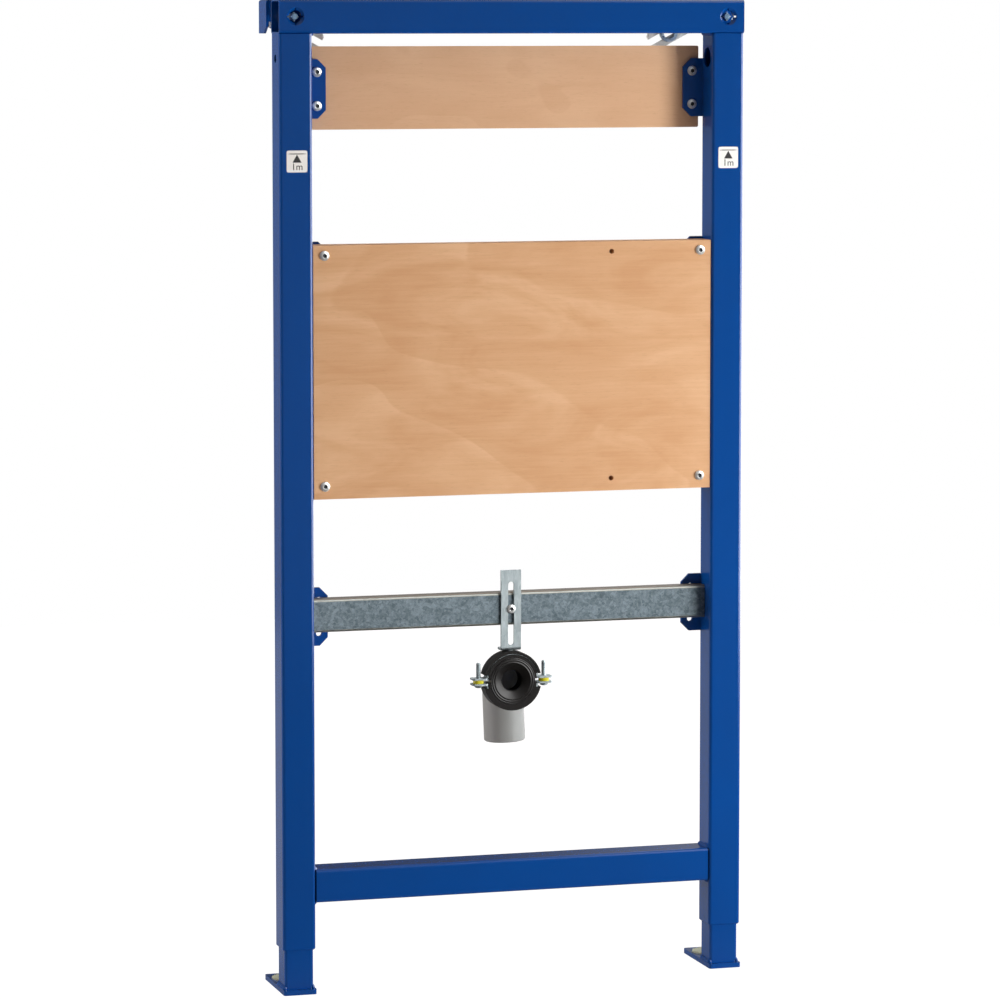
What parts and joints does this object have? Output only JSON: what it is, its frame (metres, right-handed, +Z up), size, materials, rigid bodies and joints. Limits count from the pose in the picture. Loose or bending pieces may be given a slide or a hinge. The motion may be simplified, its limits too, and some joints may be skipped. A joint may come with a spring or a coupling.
{
  "type": "utility sink installation frame",
  "caption": "Free-standing welded tube frame with boards, a drain clamp on a rail, telescopic feet and wall anchors, for hanging a utility sink.",
  "frame": {"origin": "on the floor, at the middle of the frame's width and of its overall depth", "axes": "+X to the right seen from the front, +Y from the front to the wall, +Z up"},
  "size_m": [0.575, 0.128, 1.18],
  "materials": {
    "blue_paint": "glossy blue powder coat on steel",
    "beech_board": "smooth beech-faced board",
    "galvanised_steel": "hot-dip galvanised with spangle",
    "zinc_plate": "bright zinc plating",
    "black_rubber": "matt black rubber",
    "yellow_plastic": "yellow moulded plastic",
    "grey_plastic": "grey drain pipe plastic",
    "pale_plastic": "pale grey-green plastic"
  },
  "bodies": {
    "frame": {"left_upright": "blue_paint", "right_upright": "blue_paint", "top_beam": "blue_paint", "bottom_beam": "blue_paint", "upper_board_tabs": "blue_paint", "main_board_tabs": "blue_paint", "rail_tabs": "blue_paint", "upper_board": "beech_board", "main_board": "beech_board", "support_rail": "galvanised_steel"},
    "left_foot": {"left_foot_tube": "blue_paint", "left_foot_plate": "blue_paint", "left_floor_disc": "pale_plastic"},
    "right_foot": {"right_foot_tube": "blue_paint", "right_foot_plate": "blue_paint", "right_floor_disc": "pale_plastic"},
    "left_anchor": {"left_wall_rod": "zinc_plate", "left_wall_bracket": "blue_paint"},
    "right_anchor": {"right_wall_rod": "zinc_plate", "right_wall_bracket": "blue_paint"},
    "left_arm": {"left_fixing_arm": "zinc_plate", "left_arm_washer": "zinc_plate"},
    "right_arm": {"right_fixing_arm": "zinc_plate", "right_arm_washer": "zinc_plate"},
    "drain": {"slotted_strap": "zinc_plate", "clamp_upper_band": "zinc_plate", "clamp_lower_band": "zinc_plate", "clamp_upper_lining": "black_rubber", "clamp_lower_lining": "black_rubber", "clamp_bolts": "zinc_plate", "clamp_spacers": "yellow_plastic", "drain_elbow": "grey_plastic", "drain_seal": "black_rubber"}
  },
  "joints": [
    {"name": "left_foot_slide", "type": "slide", "parent": "frame", "child": "left_foot", "axis": [0, 0, -1], "range_m": [-0.042, 0.15]},
    {"name": "right_foot_slide", "type": "slide", "parent": "frame", "child": "right_foot", "axis": [0, 0, -1], "range_m": [-0.042, 0.15]},
    {"name": "left_anchor_slide", "type": "slide", "parent": "frame", "child": "left_anchor", "axis": [0, 1, 0], "range_m": [0, 0.018]},
    {"name": "left_arm_swivel", "type": "hinge", "parent": "left_anchor", "child": "left_arm", "pos_m": [-0.2675, 0.0602, 1.16], "axis": [0, 1, 0], "range_deg": [-28, 62]},
    {"name": "right_anchor_slide", "type": "slide", "parent": "frame", "child": "right_anchor", "axis": [0, 1, 0], "range_m": [0, 0.018]},
    {"name": "right_arm_swivel", "type": "hinge", "parent": "right_anchor", "child": "right_arm", "pos_m": [0.2675, 0.0602, 1.16], "axis": [0, -1, 0], "range_deg": [-28, 62]},
    {"name": "drain_slide", "type": "slide", "parent": "frame", "child": "drain", "axis": [0, 0, 1], "range_m": [-0.029, 0.022]}
  ]
}
